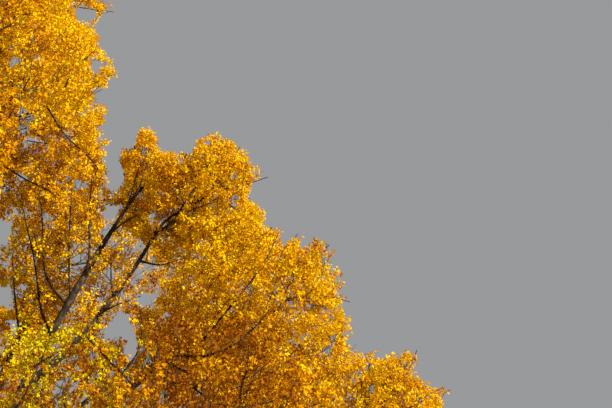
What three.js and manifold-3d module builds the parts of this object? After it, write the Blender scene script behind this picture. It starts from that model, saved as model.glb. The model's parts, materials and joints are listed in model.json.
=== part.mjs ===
// An open-grown poplar in autumn leaf, from the flat cut at ground level to the tips of its crown.
// The trunk stands on the origin with +Z up, and sizes are in millimetres and degrees.
// The crown is a set of foliage masses, each on a bough of its own and in a space of its own.
import * as THREE from "three";
import { mergeVertices } from "three/addons/utils/BufferGeometryUtils.js";
import Module from "manifold-3d";

const wasm = await Module();
wasm.setup();

// Driving dimensions
const treeHeight = 19500;
const crownReach = 9000;
const forkHeight = 3300;
const trunkRadius = 385;

// Clearances
const seat = 0.3; // between pieces that touch on the tree
const spaceGap = 24; // between the spaces of two masses
const limbClearance = 60; // between a spray and a limb that runs past it

// Colours of the bark and of the autumn foliage
const barkMaterial = new THREE.MeshStandardMaterial({ color: 0x8f8775, roughness: 0.9, metalness: 0 });
const leafMaterial = new THREE.MeshStandardMaterial({ color: 0xe0a010, roughness: 0.55, metalness: 0 });

// The tiers of the crown. A tier has a count of masses, the turn of the first one, and the height,
// the distance from the trunk and the radius of their spaces, as shares of the tree's height and
// of the crown's reach. Its boughs have a parent, which may be the nearest bough of the fork, and a
// share of the parent's length where they spring. They have a tilt from upright there and another
// at their tip, a radius at each end, and stop short of the mass's centre by a share of its radius.
const tiers = {
  top: {
    count: 1, turn: 23, height: 0.905, reach: 0.033, radius: 0.2,
    from: "trunk", share: 0.97, tilt: 7, side: 190, tipTilt: 2, foot: 225, tip: 46, short: 0.4,
  },
  main: {
    count: 1, turn: 5, height: 0.649, reach: 0.374, radius: 0.106,
    from: "trunk", share: 0.9, tilt: 30, tipTilt: 25, foot: 165, tip: 34, short: 0,
  },
  upper: {
    count: 4, turn: 20, height: 0.76, reach: 0.215, radius: 0.21,
    from: "top", share: 0.5, tilt: 42, tipTilt: 20, foot: 84, tip: 34, short: 0.4,
  },
  shoulder: {
    count: 6, turn: 9, height: 0.617, reach: 0.44, radius: 0.245,
    from: "trunk", share: 0.76, tilt: 46, tipTilt: 25, foot: 155, tip: 42, short: 0.4,
  },
  middle: {
    count: 8, turn: 3, height: 0.48, reach: 0.615, radius: 0.255,
    from: "nearest", share: 0.36, tilt: 58, tipTilt: 42, foot: 94, tip: 36, short: 0.4,
  },
  lower: {
    count: 9, turn: -4, height: 0.345, reach: 0.75, radius: 0.262,
    from: "nearest", share: 0.15, tilt: 62, tipTilt: 66, foot: 98, tip: 36, short: 0.4,
  },
};
const shareStep = { top: 0, main: 0, upper: 0.06, shoulder: 0.07, middle: 0.06, lower: 0.035 };
const limbOrder = ["top", "main", "shoulder", "upper", "middle", "lower"];

// The lobes on the side that is seen, where they differ from their tier
const lobes = {
  upper_1: { reach: 0.112, radius: 0.183, height: 0.745 },
  upper_4: { turn: -80, reach: 0.189, radius: 0.178, height: 0.738 },
  shoulder_1: {
    height: 0.636, reach: 0.494, radius: 0.154,
    from: "main", share: 0.56, tilt: 50, tipTilt: 14, foot: 80, tip: 34,
  },
  shoulder_2: { radius: 0.217, height: 0.65 },
  shoulder_6: { turn: -72, reach: 0.4, radius: 0.217, height: 0.61 },
  middle_1: { reach: 0.63, radius: 0.205, height: 0.483 },
  middle_2: { radius: 0.245, height: 0.528 },
  middle_8: { reach: 0.47, radius: 0.19, height: 0.303 },
  lower_1: { reach: 0.835, radius: 0.172, height: 0.35 },
  lower_9: { turn: -36, reach: 0.72, radius: 0.215, height: 0.27 },
};

// How the foliage grows: each twig ends in a shoot of two leaf-shaped sprays in line
const firstSeed = 101;
const shootsInMass = 10;
const targetInner = 0.2; // the least distance from a mass's centre to a shoot, as a share of its radius
const targetDeeper = 0.45; // how much further out a shoot may begin, as such a share
const targetDepth = 100; // from a shoot's beginning to the outside of its space
const targetTries = 30;
const stemRuns = 3; // the lengths that a mass's stem bends through
const stemFoot = 0.9; // a stem's radius where it begins, as a share of its bough's tip
const stemReach = 0.35; // how far past the mass's centre a stem ends, as a share of its radius
const stemLean = 50; // the tilt of that way past the centre
const stemBend = 30; // the tilt that a stem has as it ends
const leastTwig = 150;
const mostBack = 0.2; // how far back along its parent a twig may head, as a cosine
const pathWeight = 0.35; // how much the way back to the stem counts against a twig's own length
const forkStops = [0.35, 0.6, 0.85]; // where twigs may spring from a run, as shares of its length
const twigShare = 0.5; // a twig's radius where it springs, as a share of its parent's there
const twigTip = 14; // a twig's radius where its shoot begins
const sprayLeast = 0.4; // a spray's least length, as a share of its mass's radius
const sprayMost = 0.6; // and its greatest
const sprayWidth = 0.4; // its half width, as a share of its length
const sprayHeight = 0.016; // its half thickness, as such a share
const widestAt = 0.42; // where it is widest, as such a share
const spraysApart = 110; // between the sprays and twigs of a mass
const shootTries = 80;
const shootWander = 0.95; // how far a shoot turns from its twig's heading
const sprayWander = 0.7; // how far its second spray turns from the first
const twigTests = [0.3, 0.4, 0.5, 0.6, 0.7, 0.8, 0.9]; // shares of a twig's length that keep clear
const sprayTests = [0.1, 0.25, 0.4, 0.55, 0.7, 0.85, 1]; // shares of a spray's length that do
const acrossTests = [-1, -0.5, 0, 0.5, 1]; // and shares of its half width
const runTests = [0.1, 0.2, 0.3, 0.4, 0.5, 0.6, 0.7, 0.8, 0.9, 1]; // shares of a new twig's way

// A number from 0 to 1 that a seed repeats
function seeded(seed) {
  let state = seed;
  return () => {
    state = (state + 0x6d2b79f5) | 0;
    let mixed = Math.imul(state ^ (state >>> 15), 1 | state);
    mixed = (mixed + Math.imul(mixed ^ (mixed >>> 7), 61 | mixed)) ^ mixed;
    return ((mixed ^ (mixed >>> 14)) >>> 0) / 4294967296;
  };
}

// The direction that leans from upright by a tilt, towards a turn round the trunk
function leaning(turn, tilt) {
  const about = THREE.MathUtils.degToRad(turn);
  const lean = THREE.MathUtils.degToRad(tilt);
  const level = Math.sin(lean);
  return new THREE.Vector3(Math.cos(about) * level, Math.sin(about) * level, Math.cos(lean));
}

// A solid of a closed geometry, whose points that fall together become one
function solidOf(geometry) {
  const bare = geometry.clone();
  bare.deleteAttribute("normal");
  bare.deleteAttribute("uv");
  const merged = mergeVertices(bare, 1e-3);
  const corners = merged.index.array;
  const faces = [];
  for (let i = 0; i < corners.length; i += 3) {
    const [a, b, c] = corners.slice(i, i + 3);
    if (a !== b && b !== c && c !== a) faces.push(a, b, c);
  }
  return new wasm.Manifold(
    new wasm.Mesh({
      numProp: 3,
      vertProperties: new Float32Array(merged.attributes.position.array),
      triVerts: new Uint32Array(faces),
    }),
  );
}

// The largest body of a solid, without its scraps and sealed hollows
function largestBody(solid) {
  return solid.decompose().reduce((best, body) => (body.volume() > best.volume() ? body : best));
}

function meshOf(name, solid, material) {
  const made = solid.getMesh();
  const geometry = new THREE.BufferGeometry();
  geometry.setAttribute("position", new THREE.BufferAttribute(made.vertProperties, made.numProp));
  geometry.setIndex(new THREE.BufferAttribute(made.triVerts, 1));
  geometry.computeVertexNormals();
  const mesh = new THREE.Mesh(geometry, material);
  mesh.name = name;
  return mesh;
}

// The rings that a tube is bent through, each with a spot, a heading and a half width and height
function ringsOnCurve(curve, steps, radiusAtShare) {
  return Array.from({ length: steps + 1 }, (_, i) => ({
    spot: curve.getPointAt(i / steps),
    heading: curve.getTangentAt(i / steps),
    wide: radiusAtShare(i / steps),
    high: radiusAtShare(i / steps),
  }));
}

const noRibs = () => 1;
const sideways = new THREE.Vector3(1, 0.2, 0.1);

// The two directions across each ring, carried back from the last one without a twist
function ringFrames(rings, side) {
  const across = side.clone().projectOnPlane(rings.at(-1).heading).normalize();
  const frames = [];
  for (let i = rings.length - 1; i >= 0; i--) {
    const { heading } = rings[i];
    const after = rings[Math.min(i + 1, rings.length - 1)].heading;
    across.applyQuaternion(new THREE.Quaternion().setFromUnitVectors(after, heading));
    frames[i] = { across: across.clone(), up: new THREE.Vector3().crossVectors(across, heading) };
  }
  return frames;
}

// A cylinder bent through rings. Ribs give its radius at each ring and angle another share,
// the last ring's width runs towards the given side, and a tube that is grown stands proud
// of itself by that much all over.
function tube(rings, sides, { ribs = noRibs, side = sideways, grown = 0 } = {}) {
  const steps = rings.length - 1;
  const geometry = new THREE.CylinderGeometry(1, 1, 1, sides, steps);
  const places = geometry.attributes.position;
  const frames = ringFrames(rings, side);
  for (let i = 0; i < places.count; i++) {
    const level = Math.round((places.getY(i) + 0.5) * steps);
    const ring = rings[level];
    const x = places.getX(i);
    const z = places.getZ(i);
    const share = ribs(ring, Math.atan2(z, x));
    const lift = level === 0 ? -grown : level === steps ? grown : 0;
    const spot = ring.spot.clone().addScaledVector(ring.heading, lift);
    spot.addScaledVector(frames[level].across, x * (ring.wide * share + grown));
    spot.addScaledVector(frames[level].up, z * (ring.high * share + grown));
    places.setXYZ(i, spot.x, spot.y, spot.z);
  }
  return solidOf(geometry);
}

// The spaces of the masses, worked out from their tiers
function crownSpaces() {
  const spaces = [];
  for (const [tier, rule] of Object.entries(tiers)) {
    for (let k = 0; k < rule.count; k++) {
      const name = rule.count === 1 ? tier : `${tier}_${k + 1}`;
      const sizes = { ...rule, turn: rule.turn + (360 * k) / rule.count, ...lobes[name] };
      const centre = leaning(sizes.turn, 90).multiplyScalar(sizes.reach * crownReach);
      centre.z = sizes.height * treeHeight;
      const share = sizes.share + shareStep[tier] * (k % 3);
      spaces.push({ ...sizes, name, tier, share, centre, radius: sizes.radius * crownReach });
    }
  }
  return spaces;
}

// How far inside a space a spot is, with the halfway planes to the spaces that it meets
function depthIn(space, spaces, spot) {
  let depth = space.radius - spot.distanceTo(space.centre);
  const own = spot.distanceToSquared(space.centre) - space.radius ** 2;
  for (const other of spaces) {
    const apart = space.centre.distanceTo(other.centre);
    if (other === space || apart > space.radius + other.radius) continue;
    const theirs = spot.distanceToSquared(other.centre) - other.radius ** 2;
    depth = Math.min(depth, (theirs - own) / (2 * apart) - spaceGap / 2);
  }
  return depth;
}

// The trunk, with a lean, a taper and a flare of buttress roots that ends at the flat cut
const trunkSides = 16;
const trunkSteps = 8;
const trunkFoot = 1.1; // the trunk's radius above its flare at the ground, as a share of trunkRadius
const trunkTop = 0.82; // and at the fork
const flareHeight = 420;
const flareSpread = 0.6;
const buttresses = 6;
const buttressDepth = 0.28; // how far they stand out, as a share of the flare
const buttressTurn = 0.7;
const ovalDepth = 0.12; // how far the foot is from round, as such a share
const ovalTurn = 1.9;
const forkSpot = new THREE.Vector3(-90, 40, forkHeight);

function trunkLimb() {
  const foot = new THREE.Vector3();
  const above = new THREE.Vector3(0, 0, forkHeight / 3);
  const below = forkSpot.clone().multiplyScalar(2 / 3);
  const curve = new THREE.CubicBezierCurve3(foot, above, below, forkSpot);
  const radiusAtShare = (share) => trunkRadius * THREE.MathUtils.lerp(trunkFoot, trunkTop, share);
  const ribs = (ring, angle) => {
    const flare = flareSpread * Math.exp(-ring.spot.z / flareHeight);
    const buttress = buttressDepth * Math.cos(buttresses * angle + buttressTurn);
    const oval = ovalDepth * Math.cos(2 * angle + ovalTurn);
    return 1 + flare * (1 + buttress + oval);
  };
  const rings = ringsOnCurve(curve, trunkSteps, radiusAtShare);
  return { name: "trunk", curve, rings, ribs, sides: trunkSides };
}

// A bough springs from its parent, rises and bends over towards its mass, and ends just inside it
const boughSides = 7;
const boughSteps = 6;
const boughPoints = 24; // the stretches between the points that a bough's curve goes through
const riseRun = 0.16; // the length of a bough's first bend, as a share of the way to its mass
const bendRun = 0.42; // the length of its last bend, as such a share
const tipDepth = 40; // how far its tip stands inside the mass's space, beyond its own radius
const tipStep = 0.005; // the step that finds the tip, as a share of the curve

function boughLimb(space, spaces, parent) {
  const { centre, radius, foot, tip } = space;
  const start = parent.curve.getPointAt(space.share);
  const aim = centre.clone().addScaledVector(leaning(space.turn, 90), -space.short * radius);
  const way = start.distanceTo(aim);
  const leaving = leaning(space.side ?? space.turn, space.tilt);
  const rising = start.clone().addScaledVector(leaving, riseRun * way);
  const bending = aim.clone().addScaledVector(leaning(space.turn, space.tipTilt), -bendRun * way);
  const whole = new THREE.CubicBezierCurve3(start, rising, bending, aim);
  let last = 1;
  while (depthIn(space, spaces, whole.getPoint(last - tipStep)) > tip + tipDepth) last -= tipStep;
  const shares = Array.from({ length: boughPoints + 1 }, (_, i) => (last * i) / boughPoints);
  const curve = new THREE.CatmullRomCurve3(shares.map((share) => whole.getPoint(share)));
  const rings = ringsOnCurve(curve, boughSteps, (share) => THREE.MathUtils.lerp(foot, tip, share));
  return { name: space.name, curve, rings, ribs: noRibs, sides: boughSides };
}

// The bough of the fork that is nearest in its turn round the trunk
function nearestOfFork(space, spaces) {
  const ofFork = spaces.filter((other) => other.from === "trunk" && other.tier !== "top");
  const apart = ({ turn }) => Math.abs(THREE.MathUtils.euclideanModulo(turn - space.turn + 180, 360) - 180);
  return ofFork.reduce((best, other) => (apart(other) < apart(best) ? other : best)).name;
}

function allLimbs(spaces) {
  const limbs = new Map([["trunk", trunkLimb()]]);
  for (const tier of limbOrder) {
    for (const space of spaces.filter((other) => other.tier === tier)) {
      const parent = space.from === "nearest" ? nearestOfFork(space, spaces) : space.from;
      limbs.set(space.name, boughLimb(space, spaces, limbs.get(parent)));
    }
  }
  return limbs;
}

// Each limb's solid, cut clear of the limbs before it
function limbSolids(limbs) {
  const solids = new Map();
  const grown = [];
  for (const { name, rings, sides, ribs } of limbs.values()) {
    let solid = tube(rings, sides, { ribs });
    for (const other of grown) solid = solid.subtract(other);
    solids.set(name, largestBody(solid));
    grown.push(tube(rings, sides, { ribs, grown: seat }));
  }
  return solids;
}

// How far a spot is from the nearest side of a set of limbs
function distanceToLimbs(spot, limbs) {
  const line = new THREE.Line3();
  const nearest = new THREE.Vector3();
  let least = Infinity;
  for (const { rings } of limbs) {
    for (let i = 1; i < rings.length; i++) {
      line.set(rings[i - 1].spot, rings[i].spot).closestPointToPoint(spot, true, nearest);
      least = Math.min(least, nearest.distanceTo(spot) - rings[i - 1].wide);
    }
  }
  return least;
}

function inAnyDirection(random) {
  const z = 2 * random() - 1;
  const about = 2 * Math.PI * random();
  const flat = Math.sqrt(1 - z * z);
  return new THREE.Vector3(flat * Math.cos(about), flat * Math.sin(about), z);
}

// Spots where sprays begin, spaced evenly through a mass and thicker towards its outside
function spreadTargets(space, spaces, random) {
  const targets = [];
  for (let k = 0; k < shootsInMass; k++) {
    let best = null;
    let bestGap = -1;
    for (let tries = 0; tries < targetTries; tries++) {
      const out = space.radius * (targetInner + targetDeeper * Math.sqrt(random()));
      const spot = space.centre.clone().addScaledVector(inAnyDirection(random), out);
      if (depthIn(space, spaces, spot) < targetDepth) continue;
      const gap = Math.min(space.radius, ...targets.map((other) => other.distanceTo(spot)));
      if (gap > bestGap) {
        best = spot;
        bestGap = gap;
      }
    }
    if (best) targets.push(best);
  }
  return targets;
}

// A mass's stem, which carries on from its bough's tip and bends up and out through the mass
function stemNodes(space, limb) {
  const { centre, radius, turn } = space;
  const tip = limb.rings.at(-1);
  const root = tip.spot.clone().addScaledVector(tip.heading, seat);
  const end = centre.clone().addScaledVector(leaning(turn, stemLean), stemReach * radius);
  const way = root.distanceTo(end);
  const leaving = root.clone().addScaledVector(tip.heading, way / 3);
  const nearing = end.clone().addScaledVector(leaning(turn, stemBend), -way / 3);
  const curve = new THREE.CubicBezierCurve3(root, leaving, nearing, end);
  const nodes = [];
  for (let i = 0; i <= stemRuns; i++) {
    const share = i / stemRuns;
    const thickness = THREE.MathUtils.lerp(stemFoot * space.tip, 2 * twigTip, share);
    nodes.push({ spot: curve.getPointAt(share), radius: thickness, path: way * share });
  }
  nodes[0].heading = tip.heading;
  return nodes;
}

function isClearRun(from, to, limbs) {
  return runTests.every((share) => distanceToLimbs(from.clone().lerp(to, share), limbs) > limbClearance);
}

// Twigs that branch from one stem. Each target is joined to the stop, on the runs that are there,
// that gives the shortest way, and a twig that would come too near a limb is skipped.
function growTwigs(space, targets, stem, limbs) {
  const chains = [{ nodes: stem, twigs: 0 }];
  const stops = [];
  const addStops = (chain, from, to) => {
    for (const share of forkStops) {
      const spot = from.spot.clone().lerp(to.spot, share);
      const radius = THREE.MathUtils.lerp(from.radius, to.radius, share);
      const path = THREE.MathUtils.lerp(from.path, to.path, share);
      stops.push({ chain, spot, radius, path, heading: to.spot.clone().sub(from.spot).normalize() });
    }
  };
  stem.slice(1).forEach((node, i) => addStops(chains[0], stem[i], node));
  targets.sort((a, b) => a.distanceTo(stem[1].spot) - b.distanceTo(stem[1].spot));
  for (const target of targets) {
    let best = null;
    let least = Infinity;
    for (const stop of stops) {
      const step = target.clone().sub(stop.spot);
      const way = step.length();
      const cost = way + pathWeight * stop.path;
      if (way < leastTwig || step.dot(stop.heading) < -mostBack * way) continue;
      if (cost >= least || !isClearRun(stop.spot, target, limbs)) continue;
      least = cost;
      best = stop;
    }
    if (!best) continue;
    stops.splice(stops.indexOf(best), 1);
    const thickness = Math.max(twigShare * best.radius, twigTip);
    const from = { spot: best.spot, radius: thickness, path: best.path };
    const to = { spot: target, radius: twigTip, path: best.path + best.spot.distanceTo(target) };
    const chain = { nodes: [from, to], twigs: 0, parent: best.chain };
    best.chain.twigs += 1;
    chains.push(chain);
    addStops(chain, from, to);
  }
  return chains;
}

// Spots along a twig and all over a spray, to test whether they keep clear
function twigSpots(nodes) {
  const [from, to] = nodes.slice(-2);
  return twigTests.map((share) => from.spot.clone().lerp(to.spot, share));
}

function spraySpots({ spot, along, side, length }) {
  return sprayTests.flatMap((run) => {
    const middle = spot.clone().addScaledVector(along, run * length);
    const half = sprayWidth * length * Math.min(run / widestAt, (1 - run) / (1 - widestAt));
    return acrossTests.map((across) => middle.clone().addScaledVector(side, across * half));
  });
}

const alongSpray = (spray, run) => spray.spot.clone().addScaledVector(spray.along, run * spray.length);

// The shoot at a twig's end, turned until it keeps clear and reaches well out inside its mass.
// Its second spray bends away from the first, and is left out where it has no room.
function placeShoot(chain, space, isClear, random) {
  const end = chain.nodes.at(-1).spot;
  const heading = end.clone().sub(chain.nodes.at(-2).spot).normalize();
  const sprayLength = () => space.radius * (sprayLeast + (sprayMost - sprayLeast) * random());
  let best = null;
  for (let tries = 0; tries < shootTries; tries++) {
    const along = inAnyDirection(random).multiplyScalar(shootWander).add(heading).normalize();
    const side = inAnyDirection(random).cross(along).normalize();
    const first = { spot: end, along, side, length: sprayLength() };
    const bent = inAnyDirection(random).multiplyScalar(sprayWander).add(along).normalize();
    const turned = side.clone().applyQuaternion(new THREE.Quaternion().setFromUnitVectors(along, bent));
    const second = { spot: alongSpray(first, 1), along: bent, side: turned, length: sprayLength() };
    if (!isClear(first, chain)) continue;
    const sprays = isClear(second, chain) ? [first, second] : [first];
    const out = alongSpray(sprays.at(-1), 1).distanceTo(space.centre);
    const reach = out + sprays.length * space.radius;
    if (!best || reach > best.reach) best = { sprays, reach };
  }
  return best?.sprays ?? [];
}

// A twig and its shoot: one tube of three sides that flattens into each spray
function twigSolid({ nodes, sprays }) {
  const rings = nodes.map((node, i) => {
    const before = nodes[Math.max(i - 1, 0)].spot;
    const after = nodes[Math.min(i + 1, nodes.length - 1)].spot;
    const heading = node.heading ?? after.clone().sub(before).normalize();
    return { spot: node.spot, heading, wide: node.radius, high: node.radius };
  });
  sprays.forEach((spray, i) => {
    const { along, length } = spray;
    const next = sprays[i + 1];
    const heading = next ? along.clone().add(next.along).normalize() : along;
    const neck = next ? twigTip : 0;
    const wide = sprayWidth * length;
    const high = sprayHeight * length;
    rings.push({ spot: alongSpray(spray, widestAt), heading: along, wide, high });
    rings.push({ spot: alongSpray(spray, 1), heading, wide: neck, high: neck });
  });
  return tube(rings, 3, { side: sprays.at(-1)?.side });
}

// A mass of foliage: its stem, and the twigs and shoots that branch from it
function massSolid(space, spaces, limbs, seed) {
  const random = seeded(seed);
  const everyLimb = [...limbs.values()];
  const stem = stemNodes(space, limbs.get(space.name));
  const targets = spreadTargets(space, spaces, random);
  const chains = growTwigs(space, targets, stem, everyLimb);
  const taken = chains.flatMap((chain) => twigSpots(chain.nodes).map((spot) => ({ chain, spot })));
  const isClear = (spray, chain) =>
    spraySpots(spray).every(
      (spot) =>
        depthIn(space, spaces, spot) > spaceGap &&
        distanceToLimbs(spot, everyLimb) > limbClearance &&
        taken.every((other) => other.chain === chain || other.spot.distanceTo(spot) > spraysApart),
    );
  let solid = null;
  for (const chain of chains.reverse()) {
    chain.sprays = placeShoot(chain, space, isClear, random);
    taken.push(...chain.sprays.flatMap(spraySpots).map((spot) => ({ chain, spot })));
    if (chain.sprays.length === 0 && chain.twigs === 0) {
      chain.parent.twigs -= 1;
      continue;
    }
    const twig = twigSolid(chain);
    solid = solid ? solid.add(twig) : twig;
  }
  return largestBody(solid);
}

// The tree
const spaces = crownSpaces();
const limbs = allLimbs(spaces);
const group = new THREE.Group();
group.name = "poplar_tree";
for (const [name, solid] of limbSolids(limbs)) {
  group.add(meshOf(name === "trunk" ? "trunk" : `bough_${name}`, solid, barkMaterial));
}
spaces.forEach((space, i) => {
  const solid = massSolid(space, spaces, limbs, firstSeed + i);
  group.add(meshOf(`foliage_${space.name}`, solid, leafMaterial));
});

export default group;
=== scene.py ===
# %% [markdown]
# An open-grown poplar in golden autumn leaf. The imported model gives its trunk, boughs and foliage
# masses as plain solids. This lesson dresses them: the limbs get furrowed bark, and each mass is
# grown again with fine twigs and thousands of leaves, by the rule that its solid was grown by.

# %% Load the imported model
import json
import math
import bpy
import numpy as np
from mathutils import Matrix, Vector

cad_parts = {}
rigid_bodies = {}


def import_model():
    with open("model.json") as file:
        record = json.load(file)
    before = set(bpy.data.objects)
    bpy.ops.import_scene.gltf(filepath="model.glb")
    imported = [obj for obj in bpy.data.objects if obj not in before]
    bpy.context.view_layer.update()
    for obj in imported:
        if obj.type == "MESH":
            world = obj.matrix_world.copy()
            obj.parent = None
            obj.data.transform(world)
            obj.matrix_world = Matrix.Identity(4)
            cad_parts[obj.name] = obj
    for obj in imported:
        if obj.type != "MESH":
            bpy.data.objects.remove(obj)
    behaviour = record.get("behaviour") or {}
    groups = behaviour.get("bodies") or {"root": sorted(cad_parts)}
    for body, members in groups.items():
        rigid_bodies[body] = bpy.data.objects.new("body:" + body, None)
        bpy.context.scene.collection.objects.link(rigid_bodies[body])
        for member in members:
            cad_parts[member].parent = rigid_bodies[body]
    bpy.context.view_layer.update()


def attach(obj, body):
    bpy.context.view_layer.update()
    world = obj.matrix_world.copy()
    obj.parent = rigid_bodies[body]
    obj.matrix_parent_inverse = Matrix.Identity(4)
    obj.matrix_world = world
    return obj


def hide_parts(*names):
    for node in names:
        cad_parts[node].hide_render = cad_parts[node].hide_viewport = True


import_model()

# %% [markdown]
# The sizes are those of the solids, in metres, so each limb and mass comes out in its own place.
# A tier is a ring of masses. The lobes on the side that is seen have sizes of their own, and
# `leafy` says how thickly each is leaved, so that its cover is that of the photograph.

# %% The tree's sizes
TREE_HEIGHT = 19.5
CROWN_REACH = 9.0
FORK = np.array((-0.09, 0.04, 3.3))
TRUNK_RADIUS = 0.385
SPACE_GAP = 0.024

TIERS = {
    "top": dict(count=1, turn=23, height=0.905, reach=0.033, radius=0.2, parent="trunk",
                share=0.97, step=0, tilt=7, side=190, tip_tilt=2, foot=0.225, tip=0.046, short=0.4),
    "main": dict(count=1, turn=5, height=0.649, reach=0.374, radius=0.106, parent="trunk",
                 share=0.9, step=0, tilt=30, tip_tilt=25, foot=0.165, tip=0.034, short=0),
    "upper": dict(count=4, turn=20, height=0.76, reach=0.215, radius=0.21, parent="top",
                  share=0.5, step=0.06, tilt=42, tip_tilt=20, foot=0.084, tip=0.034, short=0.4),
    "shoulder": dict(count=6, turn=9, height=0.617, reach=0.44, radius=0.245, parent="trunk",
                     share=0.76, step=0.07, tilt=46, tip_tilt=25, foot=0.155, tip=0.042, short=0.4),
    "middle": dict(count=8, turn=3, height=0.48, reach=0.615, radius=0.255, parent="nearest",
                   share=0.36, step=0.06, tilt=58, tip_tilt=42, foot=0.094, tip=0.036, short=0.4),
    "lower": dict(count=9, turn=-4, height=0.345, reach=0.75, radius=0.262, parent="nearest",
                  share=0.15, step=0.035, tilt=62, tip_tilt=66, foot=0.098, tip=0.036, short=0.4),
}
LIMB_ORDER = ("top", "main", "shoulder", "upper", "middle", "lower")
LOBES = {
    "top": dict(leafy=1.6),
    "main": dict(leafy=6),
    "upper_1": dict(reach=0.112, radius=0.183, height=0.745, leafy=2.3),
    "upper_2": dict(leafy=1.35),
    "upper_4": dict(turn=-80, reach=0.189, radius=0.178, height=0.738, leafy=1.5),
    "shoulder_1": dict(height=0.636, reach=0.494, radius=0.154, parent="main", share=0.56,
                       tilt=50, tip_tilt=14, foot=0.08, tip=0.034, leafy=3.2),
    "shoulder_2": dict(radius=0.217, height=0.65, leafy=1.15),
    "shoulder_6": dict(turn=-72, reach=0.4, radius=0.217, height=0.61, leafy=1.3),
    "middle_1": dict(reach=0.63, radius=0.205, height=0.483, leafy=2.5),
    "middle_2": dict(radius=0.245, height=0.528, leafy=1.1),
    "middle_8": dict(reach=0.47, radius=0.19, height=0.303, leafy=2),
    "lower_1": dict(reach=0.835, radius=0.172, height=0.35, leafy=3),
    "lower_9": dict(turn=-36, reach=0.72, radius=0.215, height=0.27, leafy=2.4),
}

# %% [markdown]
# The photograph looks up into the crown from near the tree. So the camera is at eye height, 16
# metres from the trunk, and its view cuts off the trunk. Two helpers go from a spot to its pixel in
# the photograph and back, since the branches and the gaps that it shows are told below by their
# pixels.

# %% The camera
IMAGE_WIDTH = 612
IMAGE_HEIGHT = 408
EYE = np.array((6.5, -15.0, 1.6))
LOOK_UP = math.radians(34)
LENS = 55
SENSOR = 36
CLIP_END = 500
LEAST_DEPTH = 0.1
PIXELS_PER_SLOPE = IMAGE_WIDTH * LENS / SENSOR


def make_camera():
    data = bpy.data.cameras.new("camera")
    data.lens = LENS
    data.sensor_width = SENSOR
    data.clip_end = CLIP_END
    camera = bpy.data.objects.new("camera", data)
    camera.location = EYE
    camera.rotation_euler = (math.pi / 2 + LOOK_UP, 0, 0)
    bpy.context.scene.collection.objects.link(camera)
    bpy.context.scene.camera = camera
    return camera


def depth_of(spots):
    away = spots - EYE
    return away[:, 1] * math.cos(LOOK_UP) + away[:, 2] * math.sin(LOOK_UP)


def to_pixels(spots):
    """Where spots fall in the photograph, in pixels from its upper left corner."""
    away = spots - EYE
    rise = away[:, 2] * math.cos(LOOK_UP) - away[:, 1] * math.sin(LOOK_UP)
    scale = PIXELS_PER_SLOPE / np.maximum(depth_of(spots), LEAST_DEPTH)
    return np.column_stack((IMAGE_WIDTH / 2 + away[:, 0] * scale, IMAGE_HEIGHT / 2 - rise * scale))


def from_pixel(pixel, plane):
    """The spot that shows at a pixel, on the upright plane that lies so far along Y."""
    across = (pixel[0] - IMAGE_WIDTH / 2) / PIXELS_PER_SLOPE
    above = (IMAGE_HEIGHT / 2 - pixel[1]) / PIXELS_PER_SLOPE
    ray = np.array((across, math.cos(LOOK_UP) - above * math.sin(LOOK_UP),
                    math.sin(LOOK_UP) + above * math.cos(LOOK_UP)))
    return EYE + ray * (plane - EYE[1]) / ray[1]


camera = make_camera()
print("camera at", camera.location[:])

# %% [markdown]
# Colours are written as sRGB hex values, the way a colour picker shows them, and Blender's nodes
# take linear ones. One small function turns one into the other, and another adds a node.

# %% Helpers for materials


def linear(hex_colour):
    """An sRGB hex colour as linear red, green and blue with alpha."""
    channels = [int(hex_colour[i:i + 2], 16) / 255 for i in (1, 3, 5)]
    return tuple(c / 12.92 if c <= 0.04045 else ((c + 0.055) / 1.055) ** 2.4 for c in channels) + (1.0,)


def add_node(material, kind, links=(), **settings):
    """A node with its settings, and links from other nodes' outputs to its inputs."""
    node = material.node_tree.nodes.new(kind)
    for name, value in settings.items():
        if hasattr(node, name):
            setattr(node, name, value)
        else:
            node.inputs[name.replace("_", " ")].default_value = value
    for output, name in links:
        material.node_tree.links.new(output, node.inputs[name])
    return node


def new_material(name):
    material = bpy.data.materials.new(name)
    material.use_nodes = True
    material.node_tree.nodes.clear()
    return material


def colour_ramp(material, factor, stops):
    """A ramp from position and hex colour pairs."""
    ramp = add_node(material, "ShaderNodeValToRGB", [(factor, "Fac")])
    elements = ramp.color_ramp.elements
    while len(elements) < len(stops):
        elements.new(0.5)
    for element, (position, colour) in zip(elements, stops):
        element.position = position
        element.color = linear(colour)
    return ramp.outputs["Color"]


# %% [markdown]
# Poplar bark is cork that grows in long ridges. On the trunk it is deeply furrowed and grey. The
# boughs are smoother and, seen from below before a bright crown, nearly black: painted shade, with
# brown patches of painted light, set at random, for light grazing them. Cork is dull, so its
# roughness is high. The ridges are 75 mm apart on the trunk and 15 mm on a bough, where they are
# drawn at 40 mm, as 15 mm is less than a pixel. Noise stretched along the limb gives the ridges, and
# a wider one the patches.

# %% Furrowed cork bark
RIDGE_STRETCH = 0.22
PATCH_SIZE = 0.3125
DARK_UP_TO = 0.36
MIDDLE_AT = 0.48
PALE_FROM = 0.6


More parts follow.
